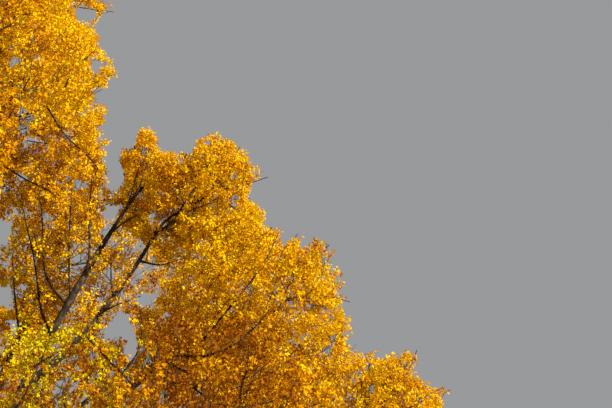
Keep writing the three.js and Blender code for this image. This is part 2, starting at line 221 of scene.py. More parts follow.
def furrowed_bark(name, ridge, depth, dark, middle, pale):
    material = new_material(name)
    coordinates = add_node(material, "ShaderNodeTexCoord")
    stretched = add_node(material, "ShaderNodeMapping", [(coordinates.outputs["Object"], "Vector")],
                         Scale=(1, 1, RIDGE_STRETCH))
    furrows = add_node(material, "ShaderNodeTexNoise", [(stretched.outputs["Vector"], "Vector")],
                       Scale=1 / ridge, Detail=5.0, Roughness=0.62, Distortion=0.6)
    patches = add_node(material, "ShaderNodeTexNoise", [(coordinates.outputs["Object"], "Vector")],
                       Scale=1 / PATCH_SIZE, Detail=3.0, Roughness=0.55)
    both = add_node(material, "ShaderNodeMath",
                    [(furrows.outputs["Fac"], 0), (patches.outputs["Fac"], 1)], operation="ADD")
    half = add_node(material, "ShaderNodeMath", [(both.outputs["Value"], 0)], operation="MULTIPLY")
    half.inputs[1].default_value = 0.5
    colour = colour_ramp(material, half.outputs["Value"],
                         [(DARK_UP_TO, dark), (MIDDLE_AT, middle), (PALE_FROM, pale)])
    bump = add_node(material, "ShaderNodeBump", [(furrows.outputs["Fac"], "Height")],
                    Strength=0.8, Distance=depth)
    shader = add_node(material, "ShaderNodeBsdfPrincipled",
                      [(colour, "Base Color"), (bump.outputs["Normal"], "Normal")], Roughness=0.88)
    shader.inputs["Specular IOR Level"].default_value = 0.25
    add_node(material, "ShaderNodeOutputMaterial", [(shader.outputs["BSDF"], "Surface")])
    return material


trunk_bark = furrowed_bark("furrowed_cork_bark", ridge=0.075, depth=0.02,
                           dark="#3B332A", middle="#6E6556", pale="#9A8F7B")
# The bough bark's near-black colours are painted shade, and its brown patches are painted light.
bough_bark_painted_shade = furrowed_bark("bough_bark_with_painted_shade", ridge=0.04, depth=0.006,
                           dark="#18120C", middle="#281F16", pale="#5E5140")
twig_bark = furrowed_bark("young_twig_bark", ridge=0.03, depth=0.002,
                          dark="#241A10", middle="#473522", pale="#6E5A38")
print("bark materials:", trunk_bark.name, bough_bark_painted_shade.name, twig_bark.name)

# %% [markdown]
# A poplar leaf in autumn is a thin, drying blade that light shines through, which is why a crown
# against the light glows. A plain shader would leave the shaded side dead, so each tint mixes a
# Principled blade with a Translucent one. Its wax has dulled, so it hardly shines, and its side
# veins, 12 mm apart, are a slight bump. The green of summer goes at a different time in each spray,
# so the tints are plain base colours that are dealt out by spray.

# %% Autumn leaf blades
LEAF_TINTS = {
    "pale_gold_leaf": ("#E8C406", "#EABC03"),
    "gold_leaf": ("#DCAA04", "#DE9E02"),
    "amber_leaf": ("#C88C04", "#CC8403"),
    "russet_leaf": ("#965C08", "#9E5804"),
    "green_gold_leaf": ("#CCBC10", "#D2BC08"),
}
SHINE_THROUGH = 0.24
VEIN_SPACING = 0.012


def leaf_blade(name, face_colour, through_colour):
    material = new_material(name)
    coordinates = add_node(material, "ShaderNodeTexCoord")
    veins = add_node(material, "ShaderNodeTexNoise", [(coordinates.outputs["Object"], "Vector")],
                     Scale=1 / VEIN_SPACING, Detail=2.0)
    bump = add_node(material, "ShaderNodeBump", [(veins.outputs["Fac"], "Height")],
                    Strength=0.35, Distance=0.002)
    blade = add_node(material, "ShaderNodeBsdfPrincipled", [(bump.outputs["Normal"], "Normal")],
                     Roughness=0.6)
    blade.inputs["Base Color"].default_value = linear(face_colour)
    blade.inputs["Specular IOR Level"].default_value = 0.02
    through = add_node(material, "ShaderNodeBsdfTranslucent", Color=linear(through_colour))
    mixed = add_node(material, "ShaderNodeMixShader")
    mixed.inputs["Fac"].default_value = SHINE_THROUGH
    material.node_tree.links.new(blade.outputs["BSDF"], mixed.inputs[1])
    material.node_tree.links.new(through.outputs["BSDF"], mixed.inputs[2])
    add_node(material, "ShaderNodeOutputMaterial", [(mixed.outputs["Shader"], "Surface")])
    return material


leaf_materials = {name: leaf_blade(name, *colours) for name, colours in LEAF_TINTS.items()}
print("leaf tints:", ", ".join(leaf_materials))

# %% [markdown]
# The crown's masses each keep to a space of their own: a ball, cut by the halfway planes to the
# balls that it meets. The same numbers come out of a seed here as in the solids' source, so the
# first twigs of each mass lie where the solids have theirs. Leaves hang over such a plane, and
# close the notch between two balls, since the real crown has no crease there.

# %% Spaces and seeded numbers
FIRST_SEED = 101
NOTCH = 0.4
WORD = 0xFFFFFFFF


def seeded(seed):
    """Numbers from 0 to 1 that a seed repeats, the same as in the solids' source."""
    state = seed & WORD

    def draw():
        nonlocal state
        state = (state + 0x6D2B79F5) & WORD
        mixed = ((state ^ (state >> 15)) * (1 | state)) & WORD
        added = ((mixed ^ (mixed >> 7)) * (61 | mixed)) & WORD
        mixed = ((mixed + added) & WORD) ^ mixed
        return (mixed ^ (mixed >> 14)) / 4294967296

    return draw


def unit(vector):
    return vector / np.linalg.norm(vector, axis=-1, keepdims=True)


def leaning(turn, tilt):
    about = math.radians(turn)
    lean = math.radians(tilt)
    return np.array((math.cos(about) * math.sin(lean), math.sin(about) * math.sin(lean), math.cos(lean)))


def crown_spaces():
    spaces = []
    for tier, rule in TIERS.items():
        for k in range(rule["count"]):
            name = tier if rule["count"] == 1 else f"{tier}_{k + 1}"
            sizes = {**rule, "turn": rule["turn"] + 360 * k / rule["count"], **LOBES.get(name, {})}
            centre = leaning(sizes["turn"], 90) * sizes["reach"] * CROWN_REACH
            centre[2] = sizes["height"] * TREE_HEIGHT
            sizes.update(name=name, tier=tier, share=sizes["share"] + sizes["step"] * (k % 3),
                         centre=centre, radius=sizes["radius"] * CROWN_REACH)
            spaces.append(sizes)
    return spaces


spaces = crown_spaces()


def depth_in(space, spots):
    """How far inside a space each spot is."""
    depth = space["radius"] - np.linalg.norm(spots - space["centre"], axis=1)
    own = ((spots - space["centre"]) ** 2).sum(1) - space["radius"] ** 2
    for other in spaces:
        apart = np.linalg.norm(space["centre"] - other["centre"])
        if other is space or apart > space["radius"] + other["radius"]:
            continue
        theirs = ((spots - other["centre"]) ** 2).sum(1) - other["radius"] ** 2
        depth = np.minimum(depth, (theirs - own) / (2 * apart) - SPACE_GAP / 2)
    return depth


def leafy_depth(space, spots):
    """How far inside the leaves of a space each spot is. They close the notch between two balls."""
    if space["name"] == "between":
        return np.full(len(spots), 1.0)
    near = [other for other in spaces if np.linalg.norm(space["centre"] - other["centre"])
            < space["radius"] + other["radius"] + NOTCH]
    depths = np.array([other["radius"] - np.linalg.norm(spots - other["centre"], axis=1)
                       for other in near])
    blended = NOTCH * np.log(np.exp(depths / NOTCH).sum(0))
    beyond_ball = space["radius"] - np.linalg.norm(spots - space["centre"], axis=1)
    return np.where(depth_in(space, spots) < beyond_ball, depth_in(space, spots), blended)


print("spaces:", len(spaces))

# %% [markdown]
# A limb is a smooth curve with a radius that tapers. Each bough springs from its parent's axis,
# rises, and bends over towards its mass, where it goes on as the mass's stem. Blender's own curve
# objects could draw them, but twigs spring from them and leaves keep off them, which is simpler to
# work out with arrays of points. The curves repeat those of the solids.

# %% The limbs' curves
RISE_RUN = 0.16
BEND_RUN = 0.42
TIP_DEPTH = 0.04
TWIG_TIP = 0.014
STEM_FOOT = 0.9
STEM_REACH = 0.35
STEM_LEAN = 50
STEM_BEND = 30
CURVE_STEPS = 160
BOUGH_STEPS = 200


def bezier(points, steps=CURVE_STEPS):
    t = np.linspace(0, 1, steps + 1)[:, None]
    a, b, c, d = points
    return a * (1 - t) ** 3 + 3 * b * t * (1 - t) ** 2 + 3 * c * t ** 2 * (1 - t) + d * t ** 3


def lengths_along(path):
    return np.concatenate(([0], np.cumsum(np.linalg.norm(np.diff(path, axis=0), axis=1))))


def at_lengths(path, run, wanted):
    return np.column_stack([np.interp(wanted, run, path[:, i]) for i in range(3)])


def even(path, steps=CURVE_STEPS):
    """The same path with its points at equal distances."""
    run = lengths_along(path)
    return at_lengths(path, run, np.linspace(0, run[-1], steps + 1))


def at_share(path, share):
    run = lengths_along(path)
    return at_lengths(path, run, [share * run[-1]])[0]


def bough_path(space, parent):
    start = at_share(parent, space["share"])
    aim = space["centre"] - leaning(space["turn"], 90) * space["short"] * space["radius"]
    way = np.linalg.norm(aim - start)
    rising = start + leaning(space.get("side", space["turn"]), space["tilt"]) * RISE_RUN * way
    bending = aim - leaning(space["turn"], space["tip_tilt"]) * BEND_RUN * way
    whole = bezier((start, rising, bending, aim), BOUGH_STEPS)
    depths = depth_in(space, whole)
    last = BOUGH_STEPS
    while depths[last - 1] > space["tip"] + TIP_DEPTH:
        last -= 1
    return even(whole[:last + 1])


def stem_path(space, bough):
    heading = unit(bough[-1] - bough[-2])
    end = space["centre"] + leaning(space["turn"], STEM_LEAN) * STEM_REACH * space["radius"]
    way = np.linalg.norm(end - bough[-1])
    nearing = end - leaning(space["turn"], STEM_BEND) * way / 3
    return even(bezier((bough[-1], bough[-1] + heading * way / 3, nearing, end)))


def nearest_of_fork(space):
    """The bough of the fork that is nearest in its turn round the trunk."""
    of_fork = [other for other in spaces if other["parent"] == "trunk" and other["tier"] != "top"]
    return min(of_fork, key=lambda other: abs((other["turn"] - space["turn"] + 180) % 360 - 180))["name"]


above_foot = np.array((0, 0, FORK[2] / 3))
limbs = {"trunk": even(bezier((np.zeros(3), above_foot, FORK * 2 / 3, FORK)))}
for tier in LIMB_ORDER:
    for space in (other for other in spaces if other["tier"] == tier):
        parent = nearest_of_fork(space) if space["parent"] == "nearest" else space["parent"]
        limbs[space["name"]] = bough_path(space, limbs[parent])
stems = {space["name"]: stem_path(space, limbs[space["name"]]) for space in spaces}
print("limbs:", len(limbs))

# %% [markdown]
# The photograph shows lesser branches that rise from the boughs, black against the gold. Each is
# told by the limb that bears it, where its upright plane lies along Y, its radius at the foot, and
# the pixels that it passes through. The last ones are too fine to show, and carry the fingers of
# leaves at the crown's edge.

# %% The branches that the photograph shows
BRANCHES = [
    ("main", 0.2, 0.026, [(62, 301), (47, 284), (43, 272), (43, 227), (40, 196)]),
    ("main", 0.1, 0.022, [(67, 298), (69, 279), (69, 234), (72, 190)]),
    ("main", -0.1, 0.028, [(87, 277), (90, 262), (89, 215), (92, 177)]),
    ("main", 1.2, 0.03, [(50, 333), (38, 303), (37, 263), (31, 248), (22, 204)]),
    ("main", 0.5, 0.03, [(30, 372), (20, 340), (14, 290), (12, 250)]),
    ("main", -0.8, 0.03, [(34, 366), (58, 352), (80, 338), (104, 318)]),
    ("main", -1.2, 0.024, [(6, 420), (24, 398), (36, 372), (46, 348)]),
    ("shoulder_1", 0.1, 0.034, [(82, 334), (93, 342), (108, 361), (121, 371), (135, 389)]),
    ("shoulder_1", 0.3, 0.026, [(108, 293), (111, 280), (111, 256)]),
    ("shoulder_1", 0.2, 0.022, [(97, 307), (119, 304), (141, 296)]),
    ("shoulder_1", 0.5, 0.022, [(155, 236), (172, 222), (181, 210), (188, 196), (201, 181)]),
    ("shoulder_1", 0.6, 0.022, [(155, 236), (176, 221), (190, 210), (211, 203)]),
    ("main", 0.2, 0.026, [(112, 231), (122, 216), (130, 199), (134, 184), (137, 172)]),
    ("main", 0.0, 0.02, [(128, 204), (139, 190), (146, 165), (154, 150)]),
    ("upper_1", 0.3, 0.022, [(52, 92), (72, 72), (88, 56), (96, 49)]),
    ("upper_1", 0.3, 0.019, [(48, 110), (66, 138), (92, 158), (100, 172)]),
    ("upper_2", 1.2, 0.024, [(-18, 152), (4, 166), (26, 180), (60, 196)]),
    ("shoulder_1", 0.6, 0.022, [(140, 262), (160, 266), (184, 258)]),
    ("main", 0.4, 0.022, [(110, 236), (124, 222), (139, 214)]),
    ("middle_1", -0.9, 0.026, [(150, 373), (196, 392), (212, 372), (234, 355)]),
    ("middle_1", -0.9, 0.026, [(166, 362), (232, 398), (262, 366), (287, 348)]),
    ("middle_1", -0.6, 0.024, [(172, 356), (215, 356), (246, 338), (268, 312)]),
    ("middle_1", -1.2, 0.022, [(160, 368), (230, 412), (266, 404), (291, 394)]),
    ("middle_1", -0.4, 0.022, [(200, 335), (236, 300), (266, 262), (279, 232)]),
    ("middle_2", -0.5, 0.022, [(122, 375), (140, 350), (144, 328), (140, 310)]),
    ("middle_2", -0.2, 0.02, [(150, 370), (160, 346), (156, 326), (147, 314)]),
]
FINGERS = [
    ("shoulder_1", 0.7, [(197, 202), (206, 165), (213, 134)]),
    ("shoulder_1", 0.5, [(215, 191), (245, 185), (268, 177)]),
    ("shoulder_1", 0.6, [(188, 207), (224, 170), (240, 147)]),
    ("main", 0.3, [(141, 189), (135, 168), (131, 150)]),
    ("lower_1", -0.5, [(356, 444), (390, 385), (406, 350)]),
    ("lower_1", -0.5, [(371, 438), (405, 380), (417, 350)]),
    ("lower_1", -0.5, [(384, 430), (420, 405), (450, 390)]),
    ("lower_1", -0.5, [(341, 448), (362, 390), (373, 352)]),
    ("top", 0.1, [(41, -4), (80, 8), (114, 12)]),
    ("upper_1", 0.3, [(60, 101), (90, 84), (115, 74)]),
    ("middle_1", 0.3, [(277, 309), (322, 268), (334, 252)]),
    ("middle_1", 0.3, [(287, 298), (325, 295), (350, 302)]),
    ("middle_1", 0.3, [(264, 318), (282, 262), (297, 234)]),
]
FINGER_FOOT = 0.012
BRANCH_TIP = 0.007
CORNER_STEPS = 60
CORNER_EASE = 9
BRANCH_STEPS = 40


def branch_path(parent, plane, pixels):
    """A branch from the nearest place on its limb through the spots that show at its pixels."""
    limb = np.vstack((limbs[parent], stems[parent]))
    nearest = np.linalg.norm(to_pixels(limb) - pixels[0], axis=1).argmin()
    spots = [limb[nearest]] + [from_pixel(pixel, plane) for pixel in pixels[1:]]
    corners = even(np.array(spots), CORNER_STEPS)
    smooth = np.array([corners[max(0, i - CORNER_EASE):i + CORNER_EASE + 1].mean(0)
                       for i in range(CORNER_STEPS + 1)])
    steps = np.arange(CORNER_STEPS + 1)
    ease = np.minimum(1, np.minimum(steps, steps[::-1]) / CORNER_EASE)[:, None]
    return even(corners * (1 - ease) + smooth * ease, BRANCH_STEPS)


branches = [(branch_path(parent, plane, pixels), foot) for parent, plane, foot, pixels in BRANCHES]
branches += [(branch_path(parent, plane, pixels), FINGER_FOOT) for parent, plane, pixels in FINGERS]
print("branches:", len(branches), "longest:", max(lengths_along(path)[-1] for path, _ in branches))

# %% [markdown]
# Thousands of tubes and leaves are far too many to add one at a time, so meshes are filled from
# arrays of points and faces. A tube is rings of points carried along its path without a twist.

# %% Helpers for meshes


def mesh_piece(name, points, faces, material, smooth=False):
    """One object from arrays of points and of faces that all have as many corners."""
    corners = faces.shape[1]
    mesh = bpy.data.meshes.new(name)
    mesh.vertices.add(len(points))
    mesh.vertices.foreach_set("co", points.astype(np.float32).ravel())
    mesh.loops.add(faces.size)
    mesh.loops.foreach_set("vertex_index", faces.astype(np.int32).ravel())
    mesh.polygons.add(len(faces))
    mesh.polygons.foreach_set("loop_start", np.arange(0, faces.size, corners, dtype=np.int32))
    mesh.polygons.foreach_set("use_smooth", np.full(len(faces), smooth))
    mesh.update(calc_edges=True)
    mesh.materials.append(material)
    piece = bpy.data.objects.new(name, mesh)
    bpy.context.scene.collection.objects.link(piece)
    return piece


def ring_frames(path):
    """The two directions across each ring of a tube."""
    headings = unit(np.gradient(path, axis=0))
    any_way = (0.3, 1.0, 0.2)
    across = np.cross(headings[0], any_way)
    frames = []
    for heading in headings:
        across = unit(across - heading * across.dot(heading))
        frames.append(across)
    frames = np.array(frames)
    return frames, np.cross(headings, frames)


def tube_arrays(path, radii, sides):
    """Points and quads of an open tube. The radii are one to a ring, or one to a point."""
    across, up = ring_frames(path)
    angles = np.arange(sides) * 2 * math.pi / sides
    radii = np.broadcast_to(np.asarray(radii).reshape(len(path), -1), (len(path), sides))[:, :, None]
    ring = np.cos(angles)[None, :, None] * across[:, None] + np.sin(angles)[None, :, None] * up[:, None]
    points = path[:, None] + ring * radii
    rings, turns = np.meshgrid(np.arange(len(path) - 1), np.arange(sides), indexing="ij")
    nexts = (turns + 1) % sides
    corners = (rings * sides + turns, rings * sides + nexts,
               (rings + 1) * sides + nexts, (rings + 1) * sides + turns)
    return points.reshape(-1, 3), np.stack(corners, -1).reshape(-1, 4)


def joined(parts):
    """Points and faces of many parts as one pair of arrays."""
    counts = np.cumsum([0] + [len(points) for points, _ in parts[:-1]])
    return (np.concatenate([points for points, _ in parts]),
            np.concatenate([faces + count for (_, faces), count in zip(parts, counts)]))


# %% [markdown]
# The trunk's buttresses and furrows are real relief in its mesh, since they show on its outline,
# where a bump in the material would not. Each ridge wanders and splits as it climbs, so the wave
# that makes them has a wavering phase.
# A bough's bark is nearly smooth: it has a collar where it springs, and slight swellings.

# %% The trunk
TRUNK_SIDES = 126
TRUNK_STEPS = 100
RIDGE_DEPTH = 0.016
RIDGES = 25
TRUNK_FOOT = 1.1
TRUNK_TOP = 0.82
FLARE_HEIGHT = 0.42
FLARE_SPREAD = 0.6
BUTTRESSES = 6
BUTTRESS_DEPTH = 0.28
OVAL_DEPTH = 0.12
FORK_FROM = 0.86
FORK_TAPER = 0.3


def furrows(angle, height, ridges):
    wander = 1.1 * np.sin(1.7 * height + 3 * angle) + 0.7 * np.sin(4.3 * height - 5 * angle + 1.3)
    split = 0.8 * np.sin(9.1 * height + 2 * angle + 2.0)
    return np.abs(np.sin(ridges * angle / 2 + wander + split)) ** 0.6 - 0.6


def trunk_piece():
    path = even(limbs["trunk"], TRUNK_STEPS)
    share = np.linspace(0, 1, TRUNK_STEPS + 1)[:, None]
    height = path[:, 2:3]
    angle = (np.arange(TRUNK_SIDES) * 2 * math.pi / TRUNK_SIDES)[None, :]
    flare = FLARE_SPREAD * np.exp(-height / FLARE_HEIGHT)
    buttress = BUTTRESS_DEPTH * np.cos(BUTTRESSES * angle + 0.7)
    ribs = 1 + flare * (1 + buttress + OVAL_DEPTH * np.cos(2 * angle + 1.9))
    radii = TRUNK_RADIUS * (TRUNK_FOOT + (TRUNK_TOP - TRUNK_FOOT) * share) * ribs
    radii = radii * (1 - FORK_TAPER * np.clip((share - FORK_FROM) / (1 - FORK_FROM), 0, 1) ** 2)
    radii = radii + RIDGE_DEPTH * furrows(angle, height, RIDGES)
    points, quads = tube_arrays(path, radii, TRUNK_SIDES)
    points[:TRUNK_SIDES, 2] = 0
    bottom = len(points)
    points = np.vstack((points, path[:1], path[-1:]))
    turns = np.arange(TRUNK_SIDES)
    nexts = (turns + 1) % TRUNK_SIDES
    last = TRUNK_STEPS * TRUNK_SIDES
    under = np.column_stack((nexts, turns, np.full_like(turns, bottom)))
    over = np.column_stack((last + turns, last + nexts, np.full_like(turns, bottom + 1)))
    triangles = np.vstack((quads[:, [0, 1, 2]], quads[:, [0, 2, 3]], under, over))
    piece = mesh_piece("trunk_bark", points, triangles, trunk_bark, smooth=True)
    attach(piece, "root")
    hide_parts("trunk")
    return piece


trunk = trunk_piece()
print("trunk points:", len(trunk.data.vertices))

# %% The boughs
BOUGH_SIDES = 12
BRANCH_SIDES = 8
BOUGH_STEP = 0.16
COLLAR = 0.5
COLLAR_RUN = 2.2
SWELLING = 0.05


def bough_arrays(path, radii, sides, seed):
    """A limb with a collar at its foot and slight swellings along it."""
    along = lengths_along(path)[:, None]
    radii = radii[:, None]
    collar = 1 + COLLAR * np.exp(-along / (COLLAR_RUN * radii[0]))
    angle = (np.arange(sides) * 2 * math.pi / sides)[None, :]
    swell = SWELLING * np.sin(5.3 * along + seed) + SWELLING * np.sin(2 * angle + 3.1 * along + seed)
    knobs = SWELLING * np.sin(17 * along + 3 * angle + 2 * seed) * np.sin(11 * along - 2 * angle)
    return tube_arrays(path, radii * collar * (1 + swell + knobs), sides)


def limb_arrays(space, seed):
    """A bough and the stem that carries it on through its mass."""
    bough = limbs[space["name"]]
    stem = stems[space["name"]]
    rings = int(lengths_along(bough)[-1] / BOUGH_STEP) + 2
    stem_rings = int(lengths_along(stem)[-1] / BOUGH_STEP) + 2
    path = np.vstack((even(bough, rings - 1), even(stem, stem_rings - 1)[1:]))
    radii = np.concatenate((np.linspace(space["foot"], space["tip"], rings),
                            np.linspace(STEM_FOOT * space["tip"], TWIG_TIP, stem_rings)[1:]))
    return bough_arrays(path, radii, BOUGH_SIDES, seed)


def branch_arrays(path, foot, seed):
    rings = int(lengths_along(path)[-1] / BOUGH_STEP) + 2
    return bough_arrays(even(path, rings - 1), np.linspace(foot, BRANCH_TIP, rings), BRANCH_SIDES, seed)


points, quads = joined([limb_arrays(space, i) for i, space in enumerate(spaces)]
                       + [branch_arrays(path, foot, i) for i, (path, foot) in enumerate(branches)])
boughs = mesh_piece("bough_bark_painted_shade", points, quads, bough_bark_painted_shade, smooth=True)
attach(boughs, "root")
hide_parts(*("bough_" + space["name"] for space in spaces))
print("bough quads:", len(quads))

# %% [markdown]
# A photograph from below shows where the crown is open: bays along its edge, and holes in it. They
# are given here as pixels: the corners of the edge, and the centre, half width and half height of
# each hole, whose rim wavers. All that is past the edge is a gap as well. Leaves that would hang
# before a gap, as the camera sees them, are left out, but for a few at its rim. Twigs cross the small
# holes and keep out of the wide ones. So there are two maps of the gaps, each drawn once.

# %% The gaps in the crown
CROWN_EDGE = [
    (115, -80), (107, 0), (118, 8), (117, 12), (99, 18), (96, 21), (94, 30), (103, 38), (109, 45),
    (107, 53), (114, 60), (113, 67), (117, 72), (119, 80), (108, 80), (105, 100), (110, 112),
    (101, 127), (109, 130), (112, 139), (104, 152), (107, 165), (110, 173), (106, 192), (117, 192),
    (124, 178), (117, 163), (120, 149), (128, 149), (131, 156), (133, 144), (137, 131), (147, 126),
    (157, 132), (155, 143), (161, 148), (164, 154), (172, 148), (182, 152), (192, 152), (193, 145),
    (197, 140), (204, 138), (208, 133), (214, 129), (219, 134), (225, 139), (229, 136), (232, 142),
    (238, 142), (234, 152), (241, 149), (247, 150), (249, 164), (254, 161), (262, 170), (270, 175),
    (264, 186), (252, 181), (248, 187), (252, 191), (247, 197), (256, 203), (264, 212), (263, 224),
    (268, 228), (274, 218), (282, 221), (284, 229), (279, 237), (281, 251), (288, 239), (298, 231),
    (304, 242), (315, 238), (325, 240), (329, 250), (335, 249), (337, 261), (341, 272), (345, 280),
    (342, 286), (346, 298), (354, 297), (350, 309), (349, 320), (356, 317), (351, 329), (349, 341),
    (340, 343), (346, 346), (359, 343), (363, 355), (374, 348), (377, 355), (369, 362), (381, 358),
    (384, 351), (390, 356), (393, 349), (401, 355), (404, 345), (408, 352), (417, 345), (418, 357),
    (414, 365), (416, 378), (424, 379), (430, 388), (439, 388), (443, 383), (452, 386), (454, 394),
    (441, 398), (447, 408), (470, 440), (500, 480), (560, 600),
]
FAR_OUTSIDE = [(560, 3000), (-3000, 3000), (-3000, -3000), (115, -3000)]
CROWN_HOLES = [
    (119, 330, 13, 11), (130, 350, 6, 10), (110, 213, 8, 7), (104, 234, 4, 6), (112, 188, 4, 5),
    (77, 187, 7, 5), (4, 298, 5, 11), (3, 232, 6, 11), (44, 221, 7, 4), (20, 114, 5, 5),
    (27, 121, 5, 5), (21, 132, 5, 6), (27, 143, 5, 5), (148, 300, 9, 5), (83, 17, 10, 6),
    (96, 67, 8, 5), (60, 271, 5, 4), (82, 259, 5, 4), (106, 276, 5, 7), (164, 317, 4, 3),
    (138, 247, 4, 4), (123, 243, 4, 2), (97, 93, 5, 4), (94, 104, 4, 3), (151, 218, 4, 3),
    (21, 290, 4, 4), (4, 267, 4, 4), (232, 178, 4, 3), (233, 201, 4, 3), (137, 195, 3, 4),
    (141, 153, 3, 5), (35, 60, 4, 3), (30, 42, 4, 3), (14, 63, 5, 4), (20, 180, 5, 4), (178, 163, 4, 3),
    (322, 262, 4, 3), (331, 341, 4, 5), (325, 353, 5, 6), (356, 376, 4, 5), (366, 368, 4, 4),
    (369, 391, 3, 4), (65, 364, 4, 3), (90, 358, 5, 5), (145, 362, 4, 6), (140, 352, 4, 4),
    (66, 181, 3, 3), (162, 398, 4, 5), (205, 145, 4, 3), (38, 376, 5, 5), (61, 385, 6, 4),
    (56, 394, 4, 6), (134, 389, 3, 5), (54, 349, 3, 4), (109, 376, 3, 5), (94, 377, 4, 4),
    (82, 403, 4, 4), (73, 387, 4, 4), (129, 363, 4, 5), (111, 366, 4, 4), (19, 387, 4, 5),
    (57, 364, 4, 3), (72, 361, 4, 3),
]
WIDE_HOLE = 35
WIDE_WAVER = 0.28
FINE_WAVER = 0.16
MAP_ACROSS = (-60, 560)
MAP_DOWN = (-100, 620)


def in_outline(pixels, outline):
    """Whether each pixel is inside a closed outline, by the edges that a line from it crosses."""
    inside = np.zeros(len(pixels), bool)
    x, y = pixels.T
    for (x0, y0), (x1, y1) in zip(outline, outline[1:] + outline[:1]):
        if y0 == y1:
            continue
        crosses = (y0 > y) != (y1 > y)
        inside ^= crosses & (x < (x1 - x0) * (y - y0) / (y1 - y0) + x0)
    return inside


def is_gap(pixels, holes):
    """Whether each pixel is outside the crown's edge or in one of the holes."""
    hiding = ~in_outline(pixels, CROWN_EDGE + FAR_OUTSIDE)
    for x, y, half_width, half_height in holes:
        across = (pixels[:, 0] - x) / half_width
        down = (pixels[:, 1] - y) / half_height
        about = np.arctan2(down, across)
        rim = 1 + WIDE_WAVER * np.sin(3 * about + x) + FINE_WAVER * np.sin(7 * about + y)
        hiding |= np.hypot(across, down) < rim
    return hiding


def draw_gap_map(holes):
    """The same for every pixel in and around the photograph, drawn once."""
    x, y = np.meshgrid(np.arange(*MAP_ACROSS), np.arange(*MAP_DOWN))
    return is_gap(np.column_stack((x.ravel(), y.ravel())) + 0.5, holes).reshape(x.shape)


wide_gaps = draw_gap_map([hole for hole in CROWN_HOLES if hole[2] * hole[3] > WIDE_HOLE])
all_gaps = draw_gap_map(CROWN_HOLES)


def before_gap(spots, gap_map, slack=0):
    """Whether each spot hangs before a gap, more than so many pixels past the crown's edge."""
    x, y = (to_pixels(spots) + (-slack, slack)).T
    column = np.clip(x - MAP_ACROSS[0], 0, gap_map.shape[1] - 1).astype(int)
    row = np.clip(y - MAP_DOWN[0], 0, gap_map.shape[0] - 1).astype(int)
    return gap_map[row, column]


print("holes:", len(CROWN_HOLES), "gap pixels in the two maps:", wide_gaps.sum(), all_gaps.sum())

# %% [markdown]
# The photograph also shows limbs with hardly a leaf before them. A bare stretch is told by its
# limb, the shares of the limb's length where it starts and ends, and how many pixels to each side
# stay clear. The dark branches count as bare from end to end. A stretch is made of short runs, and
# a share of them, picked by a seed, is covered all the same.

# %% The bare limbs
BARE_LIMBS = [("main", 0.69, 0.8, 3), ("main", 0.8, 0.95, 1.4), ("shoulder_1", 0.3, 0.55, 2.5),
              ("shoulder_1", 0.55, 0.85, 1.4)]
BARE_STEMS = [("main", 0.0, 0.9, 1.5), ("shoulder_1", 0.0, 0.8, 1.5)]
BARE_BRANCH = 1.5
BARE_STOPS = 9
BRANCH_STRIDE = 5
COVERED_SHARE = 0.42
BARE_SEED = 4197


def bare_stretches():
    """The stretches with nothing before them, as pixels, depths and half widths."""
    stretches = []
    for paths, kinds in ((limbs, BARE_LIMBS), (stems, BARE_STEMS)):
        for name, first, last, half in kinds:
            steps = np.linspace(first, last, BARE_STOPS) * CURVE_STEPS
            stretches.append((paths[name][steps.astype(int)], half))
    stretches += [(path[::BRANCH_STRIDE], BARE_BRANCH) for path, foot in branches if foot > FINGER_FOOT]
    return [(to_pixels(path), depth_of(path), half) for path, half in stretches]


stretches = bare_stretches()


def hides_limb(spots):
    """Whether each spot hangs in front of a limb that has to show bare."""
    pixels = to_pixels(spots)
    depths = depth_of(spots)
    hiding = np.zeros(len(spots), bool)
    rng = np.random.default_rng(BARE_SEED)
    for line, line_depths, half in stretches:
        for k in np.flatnonzero(rng.random(len(line) - 1) > COVERED_SHARE):
            run = line[k + 1] - line[k]
            share = np.clip((pixels - line[k]) @ run / (run @ run), 0, 1)
            off = np.linalg.norm(pixels - line[k] - share[:, None] * run, axis=1)
            before = depths < line_depths[k] + share * (line_depths[k + 1] - line_depths[k])
            hiding |= (off < half) & before
    return hiding


print("bare stretches:", len(stretches))

# %% [markdown]
# Real twigs part again and again towards the light. An add-on could grow such a tree, but not one
# that fits the solids. So the rule here is the one that grew them: spots are spread evenly through
# a mass, and each is joined to the twig that gives the shortest way back. It runs twice, for the
# solids' own ten twigs and for the boughlets between them. A boughlet ends in a plume, which turns
# up and out, as a poplar's shoots all reach for the light.

# %% How far the limbs are
LIMB_STRIDE = 8
NEAR_LIMB = 0.8
FAR_OFF = 9.0


def limb_runs():
    """Every limb as short straight runs, with the radius of each."""
    starts, ends, sizes = [], [], []
    ends_of = {space["name"]: (space["foot"], space["tip"]) for space in spaces}
    ends_of["trunk"] = (TRUNK_RADIUS * TRUNK_FOOT, TRUNK_RADIUS * TRUNK_TOP)
    for name, path in limbs.items():
        stops = path[::LIMB_STRIDE]
        starts.append(stops[:-1])
        ends.append(stops[1:])
        sizes.append(np.linspace(*ends_of[name], len(stops) - 1))
    return np.concatenate(starts), np.concatenate(ends), np.concatenate(sizes)


run_starts, run_ends, run_sizes = limb_runs()


def distance_to_limbs(spots, space):
    """How far each spot of a mass is from the nearest side of a limb."""
    away = np.linalg.norm((run_starts + run_ends) / 2 - space["centre"], axis=1)
    near = away < space["radius"] + NEAR_LIMB
    least = np.full(len(spots), FAR_OFF)
    for start, end, size in zip(run_starts[near], run_ends[near], run_sizes[near]):
        run = end - start
        share = np.clip((spots - start) @ run / (run @ run), 0, 1)
        least = np.minimum(least, np.linalg.norm(spots - start - share[:, None] * run, axis=1) - size)
    return least


print("limb runs:", len(run_sizes))

